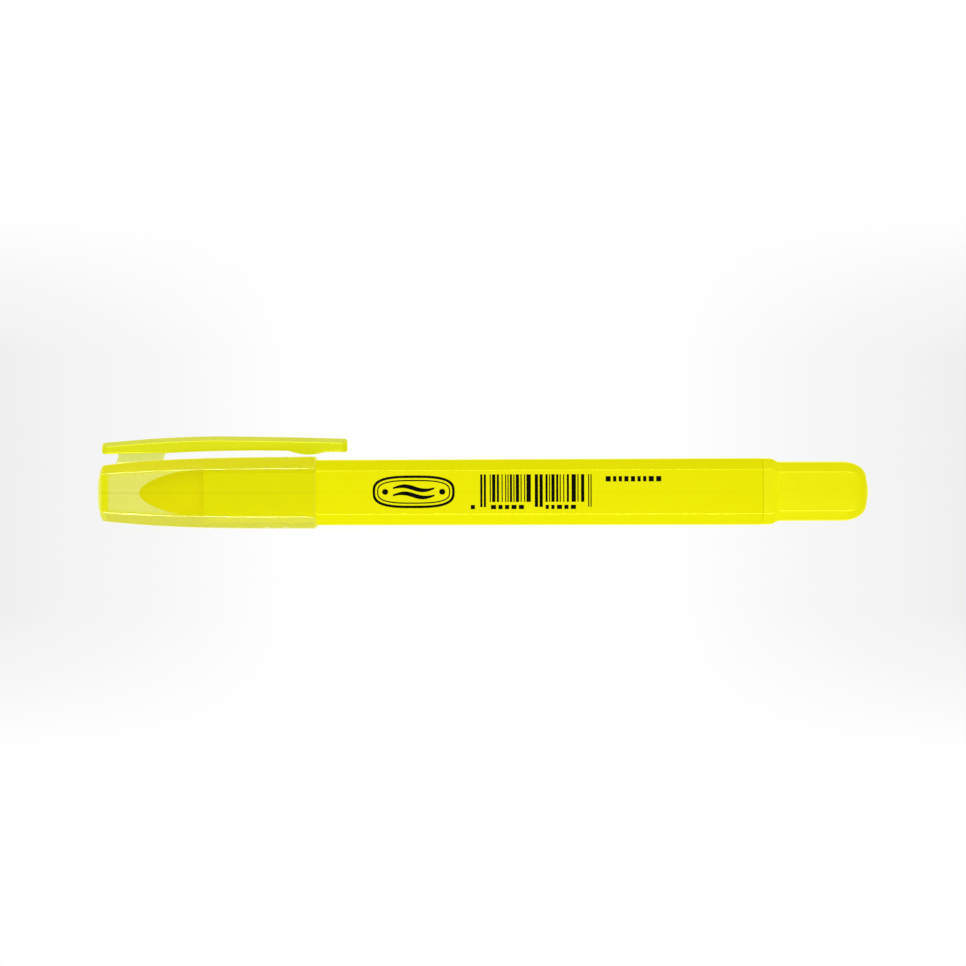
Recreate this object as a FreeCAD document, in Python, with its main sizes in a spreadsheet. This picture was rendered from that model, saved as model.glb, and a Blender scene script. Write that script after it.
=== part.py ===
import FreeCAD, Part
import math
import os

import Sketcher

# A twist-up gel highlighter: a stick of solid highlighter gel in an eight-sided barrel, fed by a
# screw that a knob at the rear turns, with a translucent cap that carries a pocket clip.
#
# Frame: +X runs along the pen from the cap towards the knob, and +Z is the side with the clip.
# The origin is on the pen's axis, in the plane of the barrel's front shoulder, where the mouth of
# the cap stops. Everything in front of that shoulder therefore has a negative X.
#
# Every cross-section of the outside is a square with broad corner chamfers: four flats, each
# "half" away from the axis, whose own half-width is flat_ratio times that distance.

SIZES = [
    ("barrel_length", 75.2, "front shoulder to rear face"),
    ("barrel_front_half", 5.56, "axis to flat at the shoulder"),
    ("barrel_rear_half", 5.67, "axis to flat at the rear face"),
    ("flat_ratio", 0.64, "half-width of a flat over its distance from the axis"),
    ("edge_radius", 0.7, "rounding along the eight edges"),
    ("neck_length", 19.1, "reduced front of the barrel, under the cap"),
    ("neck_half", 5.04, "axis to flat of the neck"),
    ("neck_bevel", 0.3, "bevel round the mouth of the neck"),
    ("seam_bevel", 0.12, "bevel of barrel and knob where they meet"),
    ("flat_skim", 0.01, "skim that makes each broad flat of the barrel one true plane"),
    ("bore_radius", 4.15, "round bore that guides the gel stick"),
    ("journal_bore_radius", 4.6, "wider bore at the rear, where the knob turns"),
    ("journal_bore_depth", 9.5, "depth of that bore from the rear face"),
    ("snap_from_rear", 5.0, "rear face to the middle of the snap groove"),
    ("snap_groove_radius", 4.82, "bottom of the snap groove"),
    ("snap_groove_width", 1.2, "length of the snap groove along the axis"),
    ("keyway_from_shoulder", 2.0, "where the two keyways start"),
    ("keyway_width", 1.6, "width of a keyway"),
    ("keyway_height", 4.6, "axis to the bottom of a keyway"),
    ("cap_gap", 0.05, "cap mouth to barrel shoulder"),
    ("cap_length", 37.3, "mouth to the crown of the closed end"),
    ("cap_mouth_half", 6.15, "axis to flat at the mouth"),
    ("cap_taper", 1.45, "how much nearer the flats are at the closed end"),
    ("cap_taper_power", 3.2, "how late along the cap the taper sets in"),
    ("cap_mouth_bevel", 0.35, "bevel round the outside of the mouth"),
    ("cap_wall", 0.85, "wall of the cap"),
    ("cap_end_wall", 1.5, "thickness of the closed end"),
    ("cap_end_crown", 0.75, "height of the crown of the closed end"),
    ("grip_rib_half", 5.09, "axis to the two grip ribs inside the mouth"),
    ("grip_rib_width", 1.4, "length of a rib along the axis"),
    ("grip_rib_from_mouth", 5.8, "mouth to the front of the rib nearest to it"),
    ("grip_rib_pitch", 3.2, "spacing of the two ribs"),
    ("clip_width", 4.6, "width of the clip across the pen"),
    ("stem_width", 3.0, "width of the stem that carries the clip"),
    ("stem_front", -34.1, "foot of the stem, front"),
    ("stem_rear", -26.15, "foot of the stem, rear"),
    ("stem_lean", 0.4, "how far the stem leans back over its height"),
    ("stem_lift", 0.35, "height of the stem's foot above the middle of the cap's wall"),
    ("stem_overlap", 0.4, "how far the stem runs up into the clip"),
    ("clip_front", -36.5, "front end of the clip"),
    ("clip_root", -25.7, "where the free length of the clip starts"),
    ("clip_split", 0.05, "gap that stands for the bending section"),
    ("clip_crest", -17.0, "highest point of the clip, along the pen"),
    ("clip_rear", 5.1, "free end of the clip"),
    ("clip_front_top", 8.5, "height of the clip's top at its front end"),
    ("clip_root_top", 9.34, "the same at its root"),
    ("clip_crest_top", 9.61, "the same at its crest"),
    ("clip_rear_top", 9.13, "the same at its free end"),
    ("clip_front_under", 6.63, "height of the clip's underside at its front end"),
    ("clip_root_under", 6.8, "the same at its root"),
    ("clip_span_under", 7.16, "the same half-way along"),
    ("clip_rear_under", 6.9, "the same at its free end"),
    ("clip_root_crown", 0.05, "rise of the clip's top above a straight line, over the root"),
    ("clip_rise_crown", 0.04, "the same from the root to the crest"),
    ("clip_fall_crown", 0.06, "the same from the crest to the free end"),
    ("clip_bump_front", -4.8, "start of the gripping bump under the clip"),
    ("clip_bump_rear", 1.1, "end of the bump"),
    ("clip_bump_height", 6.46, "height of the lowest point of the bump"),
    ("clip_bump_step", 0.04, "drop from the span to the start of the bump"),
    ("clip_bevel", 0.45, "bevel along the clip's upper edges"),
    ("stick_tip", -30.3, "tip of the gel stick"),
    ("stick_radius", 4.05, "radius of the gel stick"),
    ("stick_nose", 11.3, "length of the rounded nose"),
    ("stick_length", 38.3, "tip to the rim of the holder"),
    ("tail_radius", 3.3, "reduced tail inside the holder's cup"),
    ("tail_length", 4.0, "length of the tail"),
    ("tail_clearance", 0.02, "play between the tail and its cup"),
    ("holder_radius", 3.95, "outside of the holder"),
    ("holder_length", 46.0, "rim of the cup to the rear end"),
    ("holder_floor", 1.5, "floor of the cup"),
    ("holder_bore", 2.95, "bore round the lead screw"),
    ("fin_width", 1.45, "width of the two fins that slide in the keyways"),
    ("fin_height", 4.5, "axis to the top of a fin"),
    ("fin_length", 6.0, "length of a fin, at the rear end"),
    ("pip_radius", 0.65, "radius of the pips that run in the screw's groove"),
    ("pip_tip", 2.05, "axis to the inner end of a pip"),
    ("pip_from_rim", 44.0, "rim of the cup to the upper pip"),
    ("screw_front", 25.6, "front end of the lead screw"),
    ("screw_length", 39.9, "length of the grooved part"),
    ("screw_radius", 2.7, "outside of the lead screw"),
    ("screw_core", 1.8, "bottom of the helical groove"),
    ("screw_lead", 4.0, "travel per turn"),
    ("groove_width", 1.6, "width of the groove along the axis"),
    ("groove_turns", 10.0, "turns of the groove"),
    ("shank_radius", 2.6, "corner radius of the six-sided shank in the knob"),
    ("shank_length", 18.0, "length of the shank"),
    ("knob_gap", 0.05, "rear face of the barrel to the knob's collar"),
    ("collar_half", 5.64, "axis to flat of the collar"),
    ("collar_length", 1.6, "length of the collar"),
    ("shoulder_length", 1.25, "length of the slope from collar to post"),
    ("post_half", 5.04, "axis to flat of the post"),
    ("knob_length", 18.2, "front face of the collar to the rounded end"),
    ("knob_end_crown", 0.45, "height of the crown of the rounded end"),
    ("knob_rim_depth", 1.86, "flat of the post to the edge of the crown"),
    ("knob_rim_length", 4.65, "length of the rounding between crown and post"),
    ("knob_rim_reach", 6.3, "axis to the rounding's outer end, beyond the post's corners"),
    ("knob_rim_bend_x", 1.3, "edge of the crown to the middle of the rounding, along the pen"),
    ("knob_rim_bend_r", 1.55, "the same, away from the axis"),
    ("journal_radius", 4.55, "journal inside the barrel"),
    ("journal_length", 9.0, "length of the journal"),
    ("snap_bead_radius", 4.75, "snap bead on the journal"),
    ("snap_bead_width", 0.8, "length of the bead along the axis"),
    ("socket_radius", 2.62, "corner radius of the six-sided socket"),
    ("socket_depth", 19.0, "depth of the socket from the journal's end"),
]

CLEAR_OF_SOLID = 1.0  # how far a cutting profile runs past the solid it cuts
SIDES = 8  # sides of the cross-section
FLATS = 4  # broad flats of the cross-section
CAP_SHARES = (0.3, 0.55, 0.8)  # where the cap's sections are drawn, as shares of its length
SAME_PLACE = 1e-4  # two coordinates this close are taken as equal
CHAMFER_TURN = 360 / SIDES  # degrees from a flat to the chamfer beside it

doc = FreeCAD.newDocument("highlighter")


def fill_sheet():
    """One row per driving dimension: its note, its value and the value's alias."""
    sheet = doc.addObject("Spreadsheet::Sheet", "sizes")
    for row, (alias, value, note) in enumerate(SIZES, start=1):
        sheet.set(f"A{row}", note)
        sheet.set(f"B{row}", str(value))
        sheet.setAlias(f"B{row}", alias)
    doc.recompute()
    return sheet


sizes = fill_sheet()


def value_of(expression):
    """The number that an expression on the sheet gives now."""
    return float(sizes.evalExpression(expression))


def new_body(label, place="0"):
    """An empty body whose own origin lies on the pen's axis at the X that the expression gives."""
    body = doc.addObject("PartDesign::Body", label)
    body.Label = label
    body.setExpression("Placement.Base.x", place)
    return body


def new_sketch(body, name, plane, offset="0"):
    """A sketch on one of the body's origin planes, moved along the plane's normal by offset."""
    sketch = body.newObject("Sketcher::SketchObject", name)
    support = next(item for item in body.Origin.OriginFeatures if item.Role == plane)
    sketch.AttachmentSupport = [(support, "")]
    sketch.MapMode = "FlatFace"
    sketch.setExpression("AttachmentOffset.Base.z", offset)
    return sketch


def pin_point(sketch, geometry, position, place):
    """Ties both coordinates of a sketch point to their expressions."""
    for kind, expression in zip(("DistanceX", "DistanceY"), place):
        pin_value(sketch, (kind, -1, 1, geometry, position), expression)


def point_at(place):
    """The sketch point that a pair of expressions gives now."""
    return FreeCAD.Vector(value_of(place[0]), value_of(place[1]), 0)


def arc_between(start, via, end):
    """The arc from start through via to end, and whether it runs anticlockwise.

    With via None the arc is centred on the sketch's horizontal axis, where it starts or ends."""
    if via is None:
        on_axis, rim = (start, end) if start.y == 0 else (end, start)
        centre_x = (rim.x ** 2 + rim.y ** 2 - on_axis.x ** 2) / (2 * (rim.x - on_axis.x))
        centre = FreeCAD.Vector(centre_x, 0, 0)
        radius = abs(on_axis.x - centre_x)
        middle = (start + end) / 2 - centre
        via = centre + middle * (radius / middle.Length)
    else:
        circle = Part.Arc(start, via, end).toShape().Curve
        centre, radius = circle.Center, circle.Radius
    angles = [math.atan2(p.y - centre.y, p.x - centre.x) for p in (start, via, end)]
    sweep_via = (angles[1] - angles[0]) % (2 * math.pi)
    sweep_end = (angles[2] - angles[0]) % (2 * math.pi)
    anticlockwise = sweep_via < sweep_end
    first, last = (angles[0], angles[2]) if anticlockwise else (angles[2], angles[0])
    circle = Part.Circle(centre, FreeCAD.Vector(0, 0, 1), radius)
    return Part.ArcOfCircle(circle, first, last), anticlockwise


def draw_outline(body, name, plane, corners, offset="0"):
    """A closed sketch through corners, each a list that starts with a pair of expressions.

    A second item makes the stretch that leaves the corner an arc: a pair that the arc passes
    through, or None for an arc centred on the pen's axis, which makes a part of a sphere."""
    sketch = new_sketch(body, name, plane, offset)
    ends = []
    for index, corner in enumerate(corners):
        start = point_at(corner[0])
        end = point_at(corners[(index + 1) % len(corners)][0])
        if len(corner) == 1:
            geometry = sketch.addGeometry(Part.LineSegment(start, end))
            ends.append((geometry, 1, 2))
            continue
        arc, forward = arc_between(start, corner[1] and point_at(corner[1]), end)
        geometry = sketch.addGeometry(arc)
        ends.append((geometry, 1, 2) if forward else (geometry, 2, 1))
    for index, corner in enumerate(corners):
        geometry, start, end = ends[index]
        following = ends[(index + 1) % len(ends)]
        sketch.addConstraint(Sketcher.Constraint("Coincident", geometry, end, *following[:2]))
        pin_point(sketch, geometry, start, corner[0])
        if len(corner) == 1:
            continue
        if corner[1] is None:
            sketch.addConstraint(Sketcher.Constraint("PointOnObject", geometry, 3, -1))
            continue
        helper = sketch.addGeometry(Part.Point(point_at(corner[1])), True)
        sketch.addConstraint(Sketcher.Constraint("PointOnObject", helper, 1, geometry))
        pin_point(sketch, helper, 1, corner[1])
    return sketch


def draw_section(body, name, half, offset, radius="sizes.edge_radius"):
    """The section across the pen: four flats at half from the axis, four chamfers, round edges."""
    sketch = new_sketch(body, name, "YZ_Plane", offset)
    far = value_of(half)
    near = far * value_of("sizes.flat_ratio")
    bend = value_of(radius)
    setback = bend * math.tan(math.radians(CHAMFER_TURN / 2))
    for side in range(SIDES):
        facing = math.radians(side * CHAMFER_TURN)
        outward = FreeCAD.Vector(math.cos(facing), math.sin(facing), 0)
        along = FreeCAD.Vector(-math.sin(facing), math.cos(facing), 0)
        is_flat = side % 2 == 0
        distance = far if is_flat else (far + near) / math.sqrt(2)
        reach = (near if is_flat else (far - near) / math.sqrt(2)) - setback
        start, end = outward * distance - along * reach, outward * distance + along * reach
        sketch.addGeometry(Part.LineSegment(start, end))
        circle = Part.Circle(end - outward * bend, FreeCAD.Vector(0, 0, 1), bend)
        sketch.addGeometry(Part.ArcOfCircle(circle, facing, facing + math.radians(CHAMFER_TURN)))
    to_chamfer = f"({half}) * (1 + sizes.flat_ratio) / sqrt(2)"
    for side in range(SIDES):
        line, arc = 2 * side, 2 * side + 1
        following = (arc + 1) % (2 * SIDES)
        sketch.addConstraint(Sketcher.Constraint("Tangent", line, 2, arc, 1))
        sketch.addConstraint(Sketcher.Constraint("Tangent", arc, 2, following, 1))
        pin_value(sketch, ("Radius", arc), radius)
        pin_value(sketch, ("Distance", -1, 1, line), half if side % 2 == 0 else to_chamfer)
        slope = math.radians(side * CHAMFER_TURN + 90)
        sketch.addConstraint(Sketcher.Constraint("Angle", line, slope))
    return sketch


def pin_value(sketch, constrained, expression):
    """Adds a dimension to the sketch and ties it to an expression."""
    constraint = Sketcher.Constraint(*constrained, value_of(expression))
    index = sketch.addConstraint(constraint)
    sketch.setExpression(f"Constraints[{index}]", expression)


def add_feature(body, kind, name, profile=None, **expressions):
    """A PartDesign feature on the body, with its sizes tied to expressions."""
    feature = body.newObject(f"PartDesign::{kind}", name)
    if profile is not None:
        feature.Profile = profile
    for size, expression in expressions.items():
        feature.setExpression(size, expression)
    return feature


def add_loft(body, name, sections, cut=False, ruled=False):
    """A loft through the sections, added to the body or cut from it."""
    loft = add_feature(body, "SubtractiveLoft" if cut else "AdditiveLoft", name, sections[0])
    loft.Sections = sections[1:]
    loft.Ruled = ruled
    doc.recompute()
    return loft


def add_pad(body, name, profile, length, symmetric=False):
    pad = add_feature(body, "Pad", name, profile, Length=length)
    pad.SideType = "Symmetric" if symmetric else "One side"
    doc.recompute()
    return pad


def add_turned(body, name, profile, cut=False):
    """A full turn of the profile about the pen's axis, added to the body or cut from it."""
    turned = add_feature(body, "Groove" if cut else "Revolution", name, profile)
    turned.ReferenceAxis = (profile, ["H_Axis"])
    turned.Angle = 360
    before = body.Shape.Volume if cut else 0
    doc.recompute()
    if cut and body.Shape.Volume >= before:
        raise RuntimeError(f"{name} cut nothing")
    return turned


def bevel_rim(body, name, place, size):
    """Bevels every edge of the body's last feature that lies in the plane across X = place."""
    plane_x = value_of(place)
    names = []
    for number, edge in enumerate(body.Shape.Edges, start=1):
        reach = max(abs(vertex.X - plane_x) for vertex in edge.Vertexes)
        if reach < 1e-4 and abs(edge.CenterOfMass.x - plane_x) < 1e-4:
            names.append(f"Edge{number}")
    bevel = add_feature(body, "Chamfer", name, Size=size)
    bevel.Base = (bevel.BaseFeature, names)
    before = body.Shape.Volume
    doc.recompute()
    if not 0 < before - body.Shape.Volume < before / 10:
        raise RuntimeError(f"{name} went wrong")
    return bevel


def repeat_about_axis(body, name, feature, sketch, count, axis="N_Axis"):
    """Repeats a feature round the pen's axis, which is the named axis of its sketch."""
    pattern = body.newObject("PartDesign::PolarPattern", name)
    pattern.Originals = [feature]
    pattern.Axis = (sketch, [axis])
    pattern.Angle = 360
    pattern.Occurrences = count
    body.Tip = pattern
    doc.recompute()
    return pattern


def make_barrel():
    """The eight-sided barrel with its slight draft, the neck that the cap covers, and the bores."""
    body = new_body("barrel")
    front = draw_section(body, "barrel_front", "sizes.barrel_front_half", "0")
    bevel_x = "sizes.barrel_length - sizes.seam_bevel"
    bevel_half = "sizes.barrel_rear_half - sizes.seam_bevel"
    rear = draw_section(body, "barrel_rear", "sizes.barrel_rear_half", bevel_x)
    rim = draw_section(body, "barrel_rim", bevel_half, "sizes.barrel_length")
    add_loft(body, "barrel_loft", [front, rear, rim], ruled=True)
    skim_flats(body, bevel_x)
    neck = draw_section(body, "neck_section", "sizes.neck_half", "-sizes.neck_length")
    add_pad(body, "neck", neck, "sizes.neck_length + sizes.edge_radius")
    bevel_rim(body, "neck_mouth_bevel", "-sizes.neck_length", "sizes.neck_bevel")
    rear_x = "sizes.barrel_length"
    journal_x = "sizes.barrel_length - sizes.journal_bore_depth"
    snap_x = "sizes.barrel_length - sizes.snap_from_rear"
    snap_front = f"{snap_x} - sizes.snap_groove_width / 2"
    snap_rear = f"{snap_x} + sizes.snap_groove_width / 2"
    past_front = f"-sizes.neck_length - {CLEAR_OF_SOLID}"
    past_rear = f"{rear_x} + {CLEAR_OF_SOLID}"
    bores = draw_outline(body, "bore_profile", "XZ_Plane", [
        [(past_front, "0")],
        [(past_rear, "0")],
        [(past_rear, "sizes.journal_bore_radius")],
        [(snap_rear, "sizes.journal_bore_radius")],
        [(snap_rear, "sizes.snap_groove_radius")],
        [(snap_front, "sizes.snap_groove_radius")],
        [(snap_front, "sizes.journal_bore_radius")],
        [(journal_x, "sizes.journal_bore_radius")],
        [(journal_x, "sizes.bore_radius")],
        [(past_front, "sizes.bore_radius")],
    ])
    add_turned(body, "bores", bores, cut=True)
    half_width = "sizes.keyway_width / 2"
    below = "sizes.bore_radius / 2"
    keyway_sketch = draw_outline(body, "keyway_section", "YZ_Plane", [
        [(f"-{half_width}", below)],
        [(half_width, below)],
        [(half_width, "sizes.keyway_height")],
        [(f"-{half_width}", "sizes.keyway_height")],
    ], offset="sizes.keyway_from_shoulder")
    before = body.Shape.Volume
    keyway_length = f"{journal_x} - sizes.keyway_from_shoulder + {CLEAR_OF_SOLID}"
    keyway = add_feature(body, "Pocket", "keyway", keyway_sketch, Length=keyway_length)
    keyway.Reversed = True
    doc.recompute()
    repeat_about_axis(body, "keyways", keyway, keyway_sketch, 2)
    if body.Shape.Volume >= before:
        raise RuntimeError("the keyways cut nothing")
    return body


def skim_flats(body, rear_x):
    """Skims the four broad flats, which lean outwards by the draft, so that each is a plane."""
    front = "sizes.barrel_front_half - sizes.flat_skim"
    rear = "sizes.barrel_rear_half - sizes.flat_skim"
    before = body.Shape.Volume
    profile = draw_outline(body, "skim_profile", "XZ_Plane", [
        [("0", front)],
        [(rear_x, rear)],
        [(rear_x, f"sizes.barrel_rear_half + {CLEAR_OF_SOLID}")],
        [("0", f"sizes.barrel_rear_half + {CLEAR_OF_SOLID}")],
    ])
    skim = add_feature(body, "Pocket", "flat_skim", profile, Length="2 * sizes.barrel_rear_half")
    skim.SideType = "Symmetric"
    doc.recompute()
    repeat_about_axis(body, "flat_skims", skim, profile, FLATS, "H_Axis")
    if body.Shape.Volume >= before:
        raise RuntimeError("the skims cut nothing")


def cap_half(share, inset="0"):
    """Distance from axis to flat at a share of the cap's length from its mouth, less an inset."""
    taper = f"sizes.cap_taper * pow({share}; sizes.cap_taper_power)"
    return f"sizes.cap_mouth_half - {taper} - ({inset})"


def cap_sections(body, name, shares, inset):
    """Sections of the cap at the given shares of its length, drawn in by an inset."""
    sections = []
    for index, share in enumerate(shares):
        place = f"-{share} * sizes.cap_length"
        sections.append(draw_section(body, f"{name}_{index}", cap_half(share, inset), place))
    return sections


def make_cap():
    """The cap: a tapering shell with a crowned end, two grip ribs, and the root of the clip."""
    body = new_body("cap", "-sizes.cap_gap")
    lip = "(sizes.cap_mouth_bevel / sizes.cap_length)"
    outside = cap_sections(body, "outside", (lip, *CAP_SHARES, 1), "0")
    add_loft(body, "cap_outside", outside)
    rim = cap_sections(body, "rim", (lip,), "0")
    rim += cap_sections(body, "lip", (0,), "sizes.cap_mouth_bevel")
    add_loft(body, "cap_mouth_bevel", rim, ruled=True)
    crown_end(body)
    end_wall = "sizes.cap_end_wall / sizes.cap_length"
    shares = (0, *CAP_SHARES, f"(1 - {end_wall})")
    add_loft(body, "cap_cavity", cap_sections(body, "inside", shares, "sizes.cap_wall"), cut=True)
    add_grip_ribs(body)
    add_stem(body)
    add_clip_root(body)
    return body


def crown_end(body):
    """Cuts the closed end to a shallow crown."""
    tip = "-sizes.cap_length"
    rim = cap_half(1)
    reach = "2 * sizes.cap_end_crown"
    beyond = f"{tip} - {CLEAR_OF_SOLID}"
    profile = draw_outline(body, "crown_profile", "XZ_Plane", [
        [(tip, "0"), None],
        [(f"{tip} + {reach}", f"({rim}) * sqrt(2)")],
        [(beyond, f"({rim}) * sqrt(2)")],
        [(beyond, "0")],
    ])
    add_turned(body, "cap_crown", profile, cut=True)


def add_grip_ribs(body):
    """Two low ribs round the inside of the mouth, which grip the neck of the barrel."""
    start = "-sizes.grip_rib_from_mouth - sizes.grip_rib_width"
    outside = draw_section(body, "rib_outside", "sizes.cap_mouth_half - sizes.cap_wall / 2", start)
    rib = add_pad(body, "grip_rib", outside, "sizes.grip_rib_width")
    ribs = body.newObject("PartDesign::LinearPattern", "grip_ribs")
    ribs.Originals = [rib]
    ribs.Direction = (outside, ["N_Axis"])
    ribs.Reversed = True
    ribs.setExpression("Length", "sizes.grip_rib_pitch")
    ribs.Occurrences = 2
    body.Tip = ribs
    doc.recompute()
    inside = draw_section(body, "rib_inside", "sizes.grip_rib_half", "0")
    opening = "sizes.grip_rib_from_mouth + 2 * sizes.grip_rib_pitch"
    add_feature(body, "Pocket", "rib_opening", inside, Length=opening)
    doc.recompute()


def add_stem(body):
    """The leaning stem between the cap and the clip, drawn from the side."""
    foot_front = "sizes.cap_mouth_half - sizes.cap_taper - sizes.cap_wall / 2"
    foot_rear = f"{foot_front} + sizes.cap_wall / 2"
    profile = draw_outline(body, "stem_profile", "XZ_Plane", [
        [("sizes.stem_front", f"{foot_front} + sizes.stem_lift")],
        [("sizes.stem_rear", f"{foot_rear} + sizes.stem_lift")],
        [("sizes.stem_rear + sizes.stem_lean", "sizes.clip_root_under + sizes.stem_overlap")],
        [("sizes.stem_front + sizes.stem_lean", "sizes.clip_front_under + sizes.stem_overlap")],
    ])
    add_pad(body, "stem", profile, "sizes.stem_width", symmetric=True)


def add_clip_root(body):
    """The front of the clip, over the stem, which doesn't bend."""
    middle = "(sizes.clip_front + sizes.clip_root) / 2"
    top = "(sizes.clip_front_top + sizes.clip_root_top) / 2 + sizes.clip_root_crown"
    profile = draw_outline(body, "clip_root_profile", "XZ_Plane", [
        [("sizes.clip_front", "sizes.clip_front_under")],
        [("sizes.clip_root", "sizes.clip_root_under")],
        [("sizes.clip_root", "sizes.clip_root_top"), (middle, top)],
        [("sizes.clip_front", "sizes.clip_front_top")],
    ])
    add_pad(body, "clip_root", profile, "sizes.clip_width", symmetric=True)
    bevel_upper_edges(body, "clip_root_bevel", "sizes.clip_front_top")


def bevel_upper_edges(body, name, above):
    """Bevels the clip's two upper long edges, which lie higher than the given height."""
    side_y = value_of("sizes.clip_width") / 2
    names = []
    for number, edge in enumerate(body.Shape.Edges, start=1):
        on_side = all(abs(abs(vertex.Y) - side_y) < SAME_PLACE for vertex in edge.Vertexes)
        lengthwise = abs(edge.Vertexes[0].X - edge.Vertexes[-1].X) > SAME_PLACE
        if on_side and lengthwise and edge.CenterOfMass.z > value_of(above):
            names.append(f"Edge{number}")
    bevel = add_feature(body, "Chamfer", name, Size="sizes.clip_bevel")
    bevel.Base = (bevel.BaseFeature, names)
    before = body.Shape.Volume
    doc.recompute()
    if not 0 < before - body.Shape.Volume < before / 10:
        raise RuntimeError(f"{name} went wrong")


def make_clip():
    """The free length of the clip, with the bump that grips a pocket's edge."""
    body = new_body("clip", "-sizes.cap_gap")
    root = "sizes.clip_root + sizes.clip_split"
    bump_middle = "(sizes.clip_bump_front + sizes.clip_bump_rear) / 2"
    span_middle = "(sizes.clip_root + sizes.clip_bump_front) / 2"
    fall_middle = "(sizes.clip_crest + sizes.clip_rear) / 2"
    rise_middle = "(sizes.clip_root + sizes.clip_crest) / 2"
    fall_top = "(sizes.clip_crest_top + sizes.clip_rear_top) / 2 + sizes.clip_fall_crown"
    rise_top = "(sizes.clip_crest_top + sizes.clip_root_top) / 2 + sizes.clip_rise_crown"
    profile = draw_outline(body, "clip_profile", "XZ_Plane", [
        [(root, "sizes.clip_root_under"), (span_middle, "sizes.clip_span_under")],
        [("sizes.clip_bump_front", "sizes.clip_span_under - sizes.clip_bump_step"),
         (bump_middle, "sizes.clip_bump_height")],
        [("sizes.clip_bump_rear", "sizes.clip_rear_under")],
        [("sizes.clip_rear", "sizes.clip_rear_under")],
        [("sizes.clip_rear", "sizes.clip_rear_top"), (fall_middle, fall_top)],
        [("sizes.clip_crest", "sizes.clip_crest_top"), (rise_middle, rise_top)],
        [(root, "sizes.clip_root_top")],
    ])
    add_pad(body, "clip_blade", profile, "sizes.clip_width", symmetric=True)
    bevel_upper_edges(body, "clip_bevel", "sizes.clip_front_top")
    return body


def make_gel_stick():
    """The stick of gel: half an ellipsoid, a cylinder, and a thinner tail for the holder."""
    nose = doc.addObject("Part::Ellipsoid", "stick_nose_form")
    nose.setExpression("Radius1", "sizes.stick_nose")
    nose.setExpression("Radius2", "sizes.stick_radius")
    nose.setExpression("Radius3", "sizes.stick_radius")
    nose.Angle1 = -90
    nose.Angle2 = 0
    shank = doc.addObject("Part::Cylinder", "stick_shank_form")
    shank.setExpression("Radius", "sizes.stick_radius")
    shank.setExpression("Height", "sizes.stick_length - sizes.stick_nose")
    tail = doc.addObject("Part::Cylinder", "stick_tail_form")
    tail.setExpression("Radius", "sizes.tail_radius")
    tail.setExpression("Height", "sizes.stick_length - sizes.stick_nose + sizes.tail_length")
    stick = doc.addObject("Part::MultiFuse", "gel_stick")
    stick.Label = "gel_stick"
    stick.Shapes = [nose, shank, tail]
    stick.Refine = True
    lie_along_pen = FreeCAD.Rotation(FreeCAD.Vector(0, 1, 0), 90)
    stick.Placement = FreeCAD.Placement(FreeCAD.Vector(0, 0, 0), lie_along_pen)
    stick.setExpression("Placement.Base.x", "sizes.stick_tip + sizes.stick_nose")
    doc.recompute()
    return stick


HOLDER_PLACE = "sizes.stick_tip + sizes.stick_length"


def make_stick_holder():
    """The long hollow holder: a cup for the stick, fins against turning, pips for the screw."""
    body = new_body("stick_holder", HOLDER_PLACE)
    tube_front = "sizes.tail_length + sizes.holder_floor"
    cup_radius = "sizes.tail_radius + sizes.tail_clearance"
    cup_end = "sizes.tail_length + sizes.tail_clearance"
    profile = draw_outline(body, "holder_profile", "XZ_Plane", [
        [("0", cup_radius)],
        [(cup_end, cup_radius)],
        [(cup_end, "0")],
        [(tube_front, "0")],
        [(tube_front, "sizes.holder_bore")],
        [("sizes.holder_length", "sizes.holder_bore")],
        [("sizes.holder_length", "sizes.holder_radius")],
        [("0", "sizes.holder_radius")],
    ])
    add_turned(body, "holder_tube", profile)
    half_width = "sizes.fin_width / 2"
    root = "(sizes.holder_bore + sizes.holder_radius) / 2"
    fin_sketch = draw_outline(body, "fin_section", "YZ_Plane", [
        [(f"-{half_width}", root)],
        [(half_width, root)],
        [(half_width, "sizes.fin_height")],
        [(f"-{half_width}", "sizes.fin_height")],
    ], offset="sizes.holder_length - sizes.fin_length")
    fin = add_pad(body, "fin", fin_sketch, "sizes.fin_length")
    repeat_about_axis(body, "fins", fin, fin_sketch, 2)
    for name, side, setback in (("upper_pip", 1, "0"), ("lower_pip", -1, "sizes.screw_lead / 2")):
        add_pip(body, name, side, f"sizes.pip_from_rim - {setback}")
    return body


def add_pip(body, name, side, place):
    """A round pip that stands inwards from the holder's bore, above (side 1) or below (-1)."""
    sketch = new_sketch(body, f"{name}_circle", "XY_Plane", f"{side} * sizes.pip_tip")
    centre = FreeCAD.Vector(value_of(place), 0, 0)
    normal = FreeCAD.Vector(0, 0, 1)
    sketch.addGeometry(Part.Circle(centre, normal, value_of("sizes.pip_radius")))
    pin_point(sketch, 0, 3, (place, "0"))
    pin_value(sketch, ("Radius", 0), "sizes.pip_radius")
    root = "(sizes.holder_bore + sizes.holder_radius) / 2"
    pad = add_pad(body, name, sketch, f"{root} - sizes.pip_tip")
    pad.Reversed = side < 0
    doc.recompute()


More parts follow.
